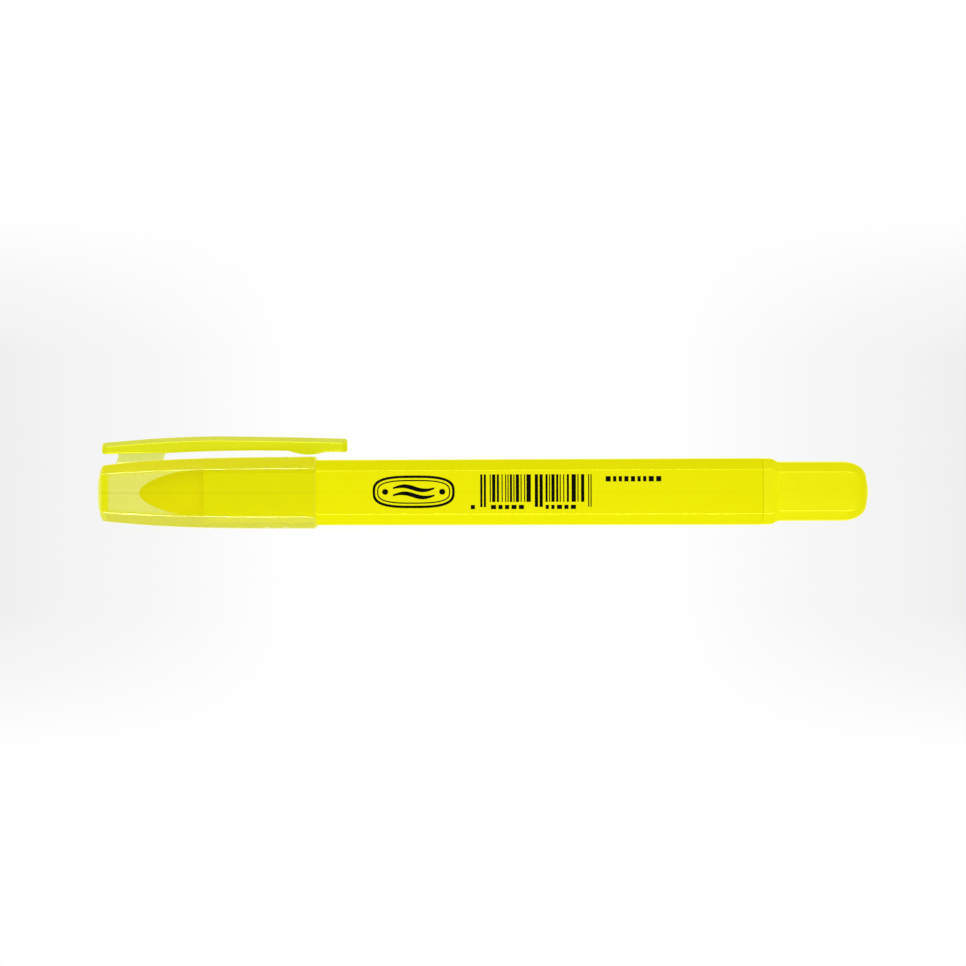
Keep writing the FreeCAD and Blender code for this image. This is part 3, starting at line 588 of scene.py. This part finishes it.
def knob_end_stations():
    """The end of the post: a round rim that runs into a shallow crown."""
    rim_length, crown_height, rim_depth, bulge = 4.1, 0.45, 2.7, 2.1
    stations = []
    for step in range(1, 13):
        angle = math.radians(90 * step / 12)
        x = KNOB_END - crown_height - rim_length + rim_length * math.sin(angle) ** (2 / bulge)
        half = POST_HALF - rim_depth + rim_depth * math.cos(angle) ** (2 / bulge)
        stations.append((x, half, 0.1 + 0.2 * step / 12))
    rim_half = POST_HALF - rim_depth
    for step in range(1, 7):
        share = 1 - step / 7
        x = KNOB_END - crown_height * share**2
        stations.append((x, rim_half * share, 0.3 + 0.7 * step / 7))
    return stations


def cap_half(x):
    """Distance from axis to flat outside the cap, a hair inside the CAD surface."""
    inside = min(max(x, CAP_TIP + 1.2), CAP_MOUTH - 0.5)
    slope = flat_distance("cap", inside + 0.3) - flat_distance("cap", inside - 0.3)
    return flat_distance("cap", inside) + slope / 0.6 * (x - inside) - 0.01


def build_cap(work):
    """The cap's shell: tapering outside with a crowned end, cavity with two grip ribs inside."""
    outside = cap_outer_stations()
    inside = cap_inner_stations()
    rings = [add_ring(work, x, section(half, roundness)) for x, half, roundness in outside + inside]
    for ring, station in zip(rings, outside):
        sink_edges(ring, station[0])
    skin = work.faces.layers.float.new(INNER_SKIN)
    for index, (first, second) in enumerate(zip(rings, rings[1:])):
        for face in bridge(work, first, second):
            face[skin] = 1 if index >= len(outside) else 0
    close_with_pole(work, rings[0], CAP_TIP)
    for face in close_with_pole(work, rings[-1], inside[-1][0]):
        face[skin] = 1


SINK_CENTRES = (-8.35, -5.15)  # where the snap ribs inside draw the long edges in
SINK_DEPTH = 0.2
SINK_LENGTH = 0.35
SINK_BREADTH = 3.5  # in degrees round the pen


def sink_edges(ring, x):
    """Small hollows in the cap's long edges, where the snap ribs inside have drawn them in."""
    depth = sum(SINK_DEPTH * math.exp(-((x - centre) / SINK_LENGTH) ** 2)
                for centre in SINK_CENTRES)
    if depth < 0.002:
        return
    for vertex in ring:
        angle = math.degrees(math.atan2(vertex.co.z, vertex.co.y)) % 90
        nearest = min(abs(angle - EDGE_ANGLE), abs(90 - angle - EDGE_ANGLE))
        pull = depth * math.exp(-(nearest / SINK_BREADTH) ** 2) * MM
        radius = math.hypot(vertex.co.y, vertex.co.z)
        vertex.co.y -= pull * vertex.co.y / radius
        vertex.co.z -= pull * vertex.co.z / radius


def cap_outer_stations():
    """From the crown of the closed end, over the rim, along the taper, to the lip of the mouth."""
    rim_x = CAP_TIP + CAP_END_CROWN
    rim_half = cap_half(rim_x)
    rounding = 0.55
    rounding_length = rounding * 1.3
    deepening = 1.2  # how much deeper than the CAD's the crown is drawn
    stations = []
    for step in range(1, 9):
        share = step / 9
        stations.append((CAP_TIP + CAP_END_CROWN * deepening * share**2, rim_half * share * 0.97, 0))
    corner_x = CAP_TIP + CAP_END_CROWN * deepening
    for step in range(0, 7):
        angle = math.radians(90 * step / 6)
        x = corner_x + rounding_length * (1 - math.cos(angle))
        half = cap_half(corner_x + rounding_length) - rounding * (1 - math.sin(angle))
        stations.append((x, half, 0))
    start = corner_x + rounding_length
    lip = 0.28
    far, near = 18, 40
    smooth_end = -10.5  # from here to the mouth the rings stand closer, for the sink marks
    for step in range(1, far):
        x = start + (smooth_end - start) * step / far
        stations.append((x, cap_half(x), 0))
    for step in range(near + 1):
        x = smooth_end + (CAP_MOUTH - lip - smooth_end) * step / near
        stations.append((x, cap_half(x), 0))
    for step in range(1, 7):
        angle = math.radians(90 * step / 6)
        x = CAP_MOUTH - lip + lip * math.sin(angle)
        stations.append((x, cap_half(CAP_MOUTH) - lip * (1 - math.cos(angle)), 0))
    return stations


def cap_inner_stations():
    """From the mouth inwards: two low ribs, the tapering wall, and the inner end."""
    rib_half, rib_width, rib_slope = 5.09, 1.4, 0.25
    taper_start = -12
    wall_x = CAP_TIP + CAP_END_WALL
    corners = [(CAP_MOUTH, cap_half(CAP_MOUTH) - CAP_WALL, 0, 0)]
    for front in (-5.85, -9.05):
        rear = front - rib_width
        for x, half in ((front, None), (front - rib_slope, rib_half),
                        (rear + rib_slope, rib_half), (rear, None)):
            corners.append((x, half or cap_half(x) - CAP_WALL, 0.08, 0))
    for step in range(1, 9):
        x = taper_start + (wall_x - taper_start) * step / 8
        corners.append((x, cap_half(x) - CAP_WALL, 0 if step < 8 else 0.5, 0))
    corners.append((wall_x - 0.01, 0.6, 0, 0.5))
    return rounded_path(corners)


CLIP_HALF_WIDTH = CLIP_HIGH.y
CLIP_FRONT = CAP_TIP + 0.8
CLIP_REAR = CLIP_HIGH.x
CLIP_ROOT = CLIP_LOW.x
STEM_HALF_WIDTH = 1.5
STEM_FRONT, STEM_REAR = -34.25, -26.4
STEM_LEAN = 0.55
POCKET_GAP_Z = CAP_MOUTH_HALF + 0.2  # a height between the cap and the clip


def clip_profile(x):
    """Lower and upper side of the clip at a place along it; its root belongs to the cap's node."""
    inside = min(max(x, CLIP_FRONT + 0.05), CLIP_REAR - 0.05)
    if abs(inside - CLIP_ROOT) < 0.1:
        before, after = clip_profile(CLIP_ROOT - 0.15), clip_profile(CLIP_ROOT + 0.15)
        return (before[0] + after[0]) / 2, (before[1] + after[1]) / 2
    node = "cap" if inside < CLIP_ROOT else "clip"
    beside_stem = STEM_HALF_WIDTH + 0.4
    under = surface_height(node, (inside, beside_stem, POCKET_GAP_Z))
    top = surface_height(node, (inside, 0.01, 20), upwards=False)
    return under, top


def blade_section(half_width, under, top, bevel):
    """Points (y, z) of the clip's section: a flat bar with bevelled upper edges."""
    corners = [(0, under, 0), (half_width, under, 0.25), (half_width, top - bevel, 0.14),
               (half_width - bevel, top, 0.2), (0, top, 0)]
    half_outline = [Vector(corners[0][:2])]
    for index in (1, 2, 3):
        y, z, radius = corners[index]
        here = Vector((y, z))
        back = Vector(corners[index - 1][:2]) - here
        onward = Vector(corners[index + 1][:2]) - here
        start = here + back.normalized() * min(radius, back.length / 2)
        end = here + onward.normalized() * min(radius, onward.length / 2)
        for step in range(6):
            t = step / 5
            half_outline.append(start * (1 - t) ** 2 + here * 2 * t * (1 - t) + end * t**2)
    half_outline.append(Vector(corners[-1][:2]))
    mirrored = [Vector((-point.x, point.y)) for point in reversed(half_outline[1:-1])]
    return half_outline + mirrored


def round_inset(inward, radius):
    """How far a corner rounded with the radius stands back at a distance in from its end."""
    short = min(radius, max(0.0, radius - inward))
    return radius - math.sqrt(max(0.0, radius**2 - short**2))


def build_clip(work):
    """The whole blade of the clip, bevelled along its upper edges, with round corners in plan."""
    plan_radius, end_radius, bevel = 1.5, 0.4, 0.8
    end_zone, middle_steps = 1.8, 56
    distances = [0.0, 0.01, 0.03, 0.07, 0.12, 0.2, 0.3, 0.4, 0.55, 0.75, 1.0, 1.3, 1.5]
    length = CLIP_REAR - CLIP_FRONT
    middle = [end_zone + (length - 2 * end_zone) * k / middle_steps
              for k in range(middle_steps + 1)]
    places = distances + middle + [length - d for d in reversed(distances)]
    rings = []
    for place in places:
        x = CLIP_FRONT + place
        inward = min(place, length - place)
        half_width = CLIP_HALF_WIDTH - round_inset(inward, plan_radius)
        rounding = round_inset(inward, end_radius)
        under, top = clip_profile(x)
        slope = min(bevel, 0.6 * half_width)
        outline = blade_section(half_width, under + rounding, top - rounding, slope)
        rings.append(add_ring(work, x, outline))
    for first, second in zip(rings, rings[1:]):
        bridge(work, first, second)
    for ring in (rings[0], rings[-1]):
        work.faces.new(ring)


def build_stem(work):
    """The leaning stem that joins the clip to the cap."""
    levels = 10
    rings = []
    for level in range(levels + 1):
        t = level / levels
        front = STEM_FRONT + STEM_LEAN * t
        rear = STEM_REAR + STEM_LEAN * t
        foot = cap_half(front) - 0.3, cap_half(rear) - 0.3
        head = clip_profile(front)[0] + 0.06, clip_profile(rear)[0] + 0.06
        flare = 0.18 * max(0.0, 1 - 6 * t) + 0.12 * max(0.0, 6 * t - 5)
        outline = rounded_rectangle(front - flare, rear + flare, STEM_HALF_WIDTH + flare, 0.45)
        ring = []
        for x, y in outline:
            share = (x - front) / (rear - front)
            low = foot[0] + (foot[1] - foot[0]) * share
            high = head[0] + (head[1] - head[0]) * share
            ring.append(work.verts.new(Vector((x, y, low + (high - low) * t)) * MM))
        rings.append(ring)
    for first, second in zip(rings, rings[1:]):
        bridge(work, first, second)
    work.faces.new(rings[0])
    work.faces.new(rings[-1])


def rounded_rectangle(x_low, x_high, half_width, radius, steps=5):
    """Outline (x, y) of a rectangle with round corners."""
    points = []
    centres = [(x_high - radius, half_width - radius), (x_low + radius, half_width - radius),
               (x_low + radius, -half_width + radius), (x_high - radius, -half_width + radius)]
    for quarter, (cx, cy) in enumerate(centres):
        for step in range(steps + 1):
            angle = math.radians(90 * quarter + 90 * step / steps)
            points.append((cx + radius * math.cos(angle), cy + radius * math.sin(angle)))
    return points


def build_gel_stick(work):
    """A smooth bullet: the nose is a parabola that eases into the cylinder, then the tail."""
    nose_reach = 8.6
    focal = 2.21
    fullness = 1.06  # how softly the nose eases into the cylinder
    stations = []
    count = 26
    for step in range(1, count + 1):
        share = step / count
        x = nose_reach * share**2
        filled = min(1.0, math.sqrt(focal * x) / (STICK_RADIUS * fullness))
        radius = STICK_RADIUS * (1 - (1 - filled) ** fullness)
        stations.append((STICK_TIP + x, radius, 1))
    tail_length, tail_radius = 4, 3.3
    shank_end = STICK_HIGH.x - tail_length
    corners = [(stations[-1][0] + 0.3, STICK_RADIUS, 0, 1), (shank_end, STICK_RADIUS, 0.2, 1),
               (shank_end, tail_radius, 0, 1), (STICK_HIGH.x, tail_radius, 0.15, 1),
               (STICK_HIGH.x, 0.5, 0, 1)]
    stations += rounded_path(corners)
    loft_along_axis(work, stations, poles=((0, STICK_TIP), (-1, STICK_HIGH.x)))


# ---------------------------------------------------------------- generic print on the front flat

def front_depth(x, z):
    """Y of the barrel's front face at a point of it, from the same section as the barrel's."""
    share = x / BARREL_REAR
    half = BARREL_FRONT_HALF + (BARREL_REAR_HALF - BARREL_FRONT_HALF) * share
    reach = half * FLAT_RATIO - edge_setback(EDGE_RADIUS)
    return -(half - CROWN * half / CROWN_HALF * (z / reach) ** 2)


INK_THICKNESS = 0.012


def add_strip(work, pairs, rows=1, closed=False):
    """One thin closed shape of ink. Each pair holds the (x, z) ends of a line across the strip."""
    fronts, backs = [], []
    for low, high in pairs:
        front, back = [], []
        for row in range(rows + 1):
            share = row / rows
            x = low[0] + (high[0] - low[0]) * share
            z = low[1] + (high[1] - low[1]) * share
            depth = front_depth(x, z)
            front.append(work.verts.new(Vector((x, depth - INK_THICKNESS, z)) * MM))
            back.append(work.verts.new(Vector((x, depth + INK_THICKNESS, z)) * MM))
        fronts.append(front)
        backs.append(back)
    for line in range(len(pairs) if closed else len(pairs) - 1):
        following = (line + 1) % len(pairs)
        outline = fronts[line] + backs[line][::-1]
        next_outline = fronts[following] + backs[following][::-1]
        bridge(work, outline, next_outline)
    if not closed:
        for line in (0, -1):
            for row in range(rows):
                work.faces.new((fronts[line][row], fronts[line][row + 1],
                                backs[line][row + 1], backs[line][row]))


def add_bar(work, x_low, x_high, z_low, z_high):
    """A printed rectangle that follows the crown of the flat."""
    add_strip(work, [((x, z_low), (x, z_high)) for x in (x_low, x_high)], rows=8)


def build_bars(work):
    """A block of upright bars of random widths. They hold no code, and no digits go with them."""
    chance = random.Random(7)
    start, end, low, high = 27.6, 46.55, -1.65, 3.0
    modules = 95
    module = (end - start) / modules
    drop = 0.85  # how much further down the bars at both ends and in the middle reach
    ink_share = 0.92
    place = 0
    while place < modules:
        width = min(chance.choice((1, 1, 2, 2, 3, 4)), modules - place)
        gap = chance.choice((1, 1, 1, 1, 2, 3))
        guard = place < 4 or place > 90 or 44 <= place <= 50
        bottom = low - drop if guard else low
        right = start + (place + width * ink_share) * module
        add_bar(work, start + place * module, right, bottom, high)
        place += width + gap


def build_ticks(work):
    """Rows of small dashes where a maker would print small text."""
    chance = random.Random(11)
    rows = [(26.0, 26.9, -2.85, -2.15), (29.4, 35.6, -2.85, -2.15), (38.6, 44.6, -2.85, -2.15),
            (48.7, 58.2, 1.75, 2.65)]
    shortest, gap = 0.5, 0.4
    for start, end, low, high in rows:
        x = start
        while x + shortest <= end:
            width = chance.choice((0.55, 0.7, 0.85))
            add_bar(work, x, x + width, low, high)
            x += width + gap


def build_badge(work):
    """A plain emblem: a double capsule outline round two gentle waves and two dots."""
    centre = Vector((16.4, 0.1))
    add_hoop(work, centre, Vector((6.9, 2.75)), 0.42)
    add_hoop(work, centre, Vector((6.15, 2.0)), 0.2)
    for rise in (0.6, -0.6):
        add_wave(work, centre + Vector((0, rise)), -3.5, 3.5, 0.75)
    for side in (-1, 1):
        add_dot(work, centre + Vector((side * 4.8, 0)), 0.5)


def superellipse(centre, half_size, power=3.0, count=96):
    """Points (x, z) of a soft-cornered oval."""
    points = []
    for step in range(count):
        angle = 2 * math.pi * step / count
        spread_x = math.copysign(abs(math.cos(angle)) ** (2 / power), math.cos(angle))
        spread_z = math.copysign(abs(math.sin(angle)) ** (2 / power), math.sin(angle))
        points.append((centre.x + half_size.x * spread_x, centre.y + half_size.y * spread_z))
    return points


def add_hoop(work, centre, half_size, line):
    """A printed outline of even width round a soft-cornered oval."""
    outer = superellipse(centre, half_size)
    inner = superellipse(centre, half_size - Vector((line, line)))
    add_strip(work, list(zip(inner, outer)), closed=True)


def add_wave(work, centre, x_low, x_high, line, steps=60):
    """A printed wave of one period that thins out towards its ends."""
    pairs = []
    for step in range(steps + 1):
        share = step / steps
        x = centre.x + x_low + (x_high - x_low) * share
        middle = centre.y + 0.35 * math.sin(2 * math.pi * share)
        half = line * (0.35 + 0.65 * math.sin(math.pi * share)) / 2
        pairs.append(((x, middle - half), (x, middle + half)))
    add_strip(work, pairs)


def add_dot(work, centre, radius, steps=12):
    """A printed disc, laid as lines across it from its lowest point to its highest."""
    pairs = []
    for step in range(steps + 1):
        z = centre.y - radius + 2 * radius * step / steps
        reach = math.sqrt(max(0.0, radius**2 - (z - centre.y) ** 2)) + 0.01
        pairs.append(((centre.x - reach, z), (centre.x + reach, z)))
    add_strip(work, pairs)


# ---------------------------------------------------------------- putting the object together

def make_pieces():
    """Makes every visible piece, and puts each one but the pocket clip on its body."""
    barrel = new_piece("barrel_body", build_barrel, [BARREL_PLASTIC])
    hold_normals(barrel)
    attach(barrel, "barrel")
    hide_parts("barrel")

    knob = new_piece("turning_knob", build_knob, [KNOB_PLASTIC])
    hold_normals(knob)
    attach(knob, "knob")
    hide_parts("knob")

    cap = new_piece("cap_shell", build_cap, [CAP_PLASTIC])
    hold_normals(cap)
    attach(cap, "cap")
    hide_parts("cap")

    stem = new_piece("clip_stem", build_stem, [STEM_PLASTIC])
    hold_normals(stem)
    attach(stem, "cap")

    clip = new_piece("pocket_clip", build_clip, [CLIP_PLASTIC])
    hold_normals(clip)
    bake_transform(clip)
    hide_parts("clip")

    stick = new_piece("gel_bullet", build_gel_stick, [GEL])
    hold_normals(stick)
    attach(stick, "stick")
    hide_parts("gel_stick")

    for name, build in (("print_bars", build_bars), ("print_ticks", build_ticks),
                        ("print_badge", build_badge)):
        mark = new_piece(name, build, [INK])
        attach(mark, "barrel")


def dress_hidden_nodes():
    """Materials for the CAD nodes that stay: the holder and the lead screw inside the barrel."""
    holder = natural_plastic("holder_natural", (0.80, 0.80, 0.74, 1), (0.1, 1, 1))
    screw = natural_plastic("screw_natural", (0.76, 0.77, 0.75, 1), (1, 1, 1))
    for node, material in (("stick_holder", holder), ("lead_screw", screw)):
        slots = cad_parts[node].material_slots
        for slot in slots:
            slot.material = material


# ---------------------------------------------------------------- light, floor and camera

BACKDROP = 1.0  # brightness of the room as the camera sees it
EDGE_SHADE = 0.14  # how much it loses towards the picture's sides, half way up
FLOOR_ALBEDO = 0.08


def backdrop_strength(tree):
    """Even white that greys a little towards the left and right of the picture."""
    window = add_node(tree, "ShaderNodeTexCoord").outputs["Window"]
    parts = add_node(tree, "ShaderNodeSeparateXYZ", {0: window})
    sideways = math_node(tree, "ABSOLUTE", math_node(tree, "SUBTRACT", parts.outputs["X"], 0.5))
    upwards = math_node(tree, "ABSOLUTE", math_node(tree, "SUBTRACT", parts.outputs["Y"], 0.5))
    shade = math_node(tree, "MULTIPLY", remap(tree, sideways, 0, EDGE_SHADE, 0.18, 0.5),
                      remap(tree, upwards, 1, 0, 0.134, 0.284))
    return math_node(tree, "SUBTRACT", BACKDROP, shade)


def room_strength(tree):
    """The backdrop's brightness for the camera, and what lights the object.

    The room lights the object most from in front and behind. Mirror reflections find it white
    beyond the object, dim at the sides and dark behind the camera.
    """
    rays = add_node(tree, "ShaderNodeLightPath")
    incoming = add_node(tree, "ShaderNodeNewGeometry").outputs["Incoming"]
    parts = add_node(tree, "ShaderNodeSeparateXYZ", {0: incoming})
    # the incoming direction points back at the object, so Z is negative for the upper room
    from_above = math_node(tree, "MULTIPLY", parts.outputs["Z"], -0.05)
    towards_camera = parts.outputs["Y"]
    frontal = math_node(tree, "MULTIPLY", towards_camera, towards_camera)
    frontal = math_node(tree, "MULTIPLY", frontal, 0.74)
    lighting = math_node(tree, "ADD", math_node(tree, "ADD", frontal, from_above), 0.57)
    facing_camera = add_node(tree, "ShaderNodeMapRange", {
        "Value": towards_camera, "From Min": 0.5, "From Max": 0.98, "To Min": 1.0, "To Max": 0.06},
        interpolation_type="SMOOTHSTEP").outputs[0]
    mirrored = math_node(tree, "MULTIPLY", facing_camera,
                         remap(tree, towards_camera, 1.0, 0.28, -0.6, -0.1))
    is_glossy = rays.outputs["Is Glossy Ray"]
    lit = math_node(tree, "MULTIPLY", lighting, math_node(tree, "SUBTRACT", 1.0, is_glossy))
    shone = math_node(tree, "MULTIPLY", mirrored, is_glossy)
    unseen = math_node(tree, "ADD", lit, shone)
    is_seen = math_node(tree, "ADD", rays.outputs["Is Camera Ray"],
                        rays.outputs["Is Transmission Ray"], True)
    seen = math_node(tree, "MULTIPLY", is_seen, backdrop_strength(tree))
    hidden = math_node(tree, "MULTIPLY", math_node(tree, "SUBTRACT", 1.0, is_seen), unseen)
    return math_node(tree, "ADD", seen, hidden)


def make_world():
    """The room round the object, which is also its main light."""
    world = bpy.data.worlds.new("soft_white_room")
    bpy.context.scene.world = world
    world.use_nodes = True
    world.cycles.sampling_method = "NONE"
    tree = world.node_tree
    tree.nodes.clear()
    background = add_node(tree, "ShaderNodeBackground", {
        "Color": (1, 1, 1, 1), "Strength": room_strength(tree)})
    output = tree.nodes.new("ShaderNodeOutputWorld")
    tree.links.new(background.outputs[0], output.inputs["Surface"])


def make_floor():
    """A pale floor that touches the pen's lowest point."""
    low = cad_box[0].z - 0.02 * MM
    mesh = bpy.data.meshes.new("floor")
    size = 3.0
    corners = [(-size, -size, low), (size, -size, low), (size, size, low), (-size, size, low)]
    mesh.from_pydata(corners, [], [(0, 1, 2, 3)])
    material, tree = new_material("pale_floor")
    material.cycles.emission_sampling = "NONE"
    strength = math_node(tree, "SUBTRACT", backdrop_strength(tree), 0.76 * FLOOR_ALBEDO)
    glow = add_node(tree, "ShaderNodeEmission", {"Color": (1, 1, 1, 1), "Strength": strength})
    paler, darker = (FLOOR_ALBEDO * 1.02,) * 3 + (1,), (FLOOR_ALBEDO * 0.96,) * 3 + (1,)
    grain = mix_colours(tree, noise(tree, 40, 3), darker, paler)
    matt = add_node(tree, "ShaderNodeBsdfDiffuse", {"Color": grain})
    shader = add_node(tree, "ShaderNodeAddShader", {0: glow.outputs[0], 1: matt.outputs[0]})
    finish_material(tree, shader.outputs[0])
    mesh.materials.append(material)
    floor = bpy.data.objects.new("floor", mesh)
    bpy.context.scene.collection.objects.link(floor)
    floor.visible_glossy = False
    floor.visible_shadow = False


def add_panel(name, place, aim, size, power):
    """A soft rectangular light, long side along the pen, that only shines in mirror reflections."""
    data = bpy.data.lights.new(name, "AREA")
    data.shape = "RECTANGLE"
    data.size, data.size_y = size
    data.energy = power
    panel = bpy.data.objects.new(name, data)
    panel.location = place
    panel.rotation_mode = "QUATERNION"
    panel.rotation_quaternion = (Vector(aim) - Vector(place)).to_track_quat("-Z", "Y")
    panel.visible_camera = False
    panel.visible_diffuse = False
    panel.visible_transmission = False
    bpy.context.scene.collection.objects.link(panel)


def make_lights():
    """Two long panels, above and below the camera, that draw the bright lines along the edges."""
    centre_x = (cad_box[0].x + cad_box[1].x) / 2
    middle = (centre_x, 0, 0)
    reach = 0.3
    size = (0.9, 0.06)
    add_panel("upper_panel", (centre_x, -reach, reach), middle, size, 6)
    add_panel("lower_panel", (centre_x, -reach, -reach), middle, size, 10)


PHOTO_WIDTH = 0.16415  # metres that the picture's width spans at the pen's axis
CAMERA_DISTANCE = 0.55
CAMERA_ASIDE, CAMERA_HEIGHT = 0.02, 1.555  # from the pen's middle and its axis, in millimetres
CAMERA_ROLL = 0.16  # degrees
SENSOR = 36  # millimetres


def make_camera():
    """Looks along +Y at the pen's side, a little above its axis."""
    data = bpy.data.cameras.new("camera")
    camera = bpy.data.objects.new("camera", data)
    bpy.context.scene.collection.objects.link(camera)
    data.sensor_width = SENSOR
    data.lens = SENSOR * CAMERA_DISTANCE / PHOTO_WIDTH
    centre_x = (cad_box[0].x + cad_box[1].x) / 2
    camera.location = (centre_x + CAMERA_ASIDE * MM, -CAMERA_DISTANCE, CAMERA_HEIGHT * MM)
    camera.rotation_euler = (math.radians(90), math.radians(CAMERA_ROLL), 0)
    bpy.context.scene.camera = camera


def set_colour():
    """Plain colour, and enough light bounces to get through the cap's walls."""
    scene = bpy.context.scene
    scene.view_settings.view_transform = "Standard"
    scene.view_settings.look = "None"
    scene.cycles.use_denoising = True
    scene.cycles.max_bounces = 24
    scene.cycles.transmission_bounces = 20


make_pieces()
dress_hidden_nodes()
make_world()
make_floor()
make_lights()
make_camera()
set_colour()
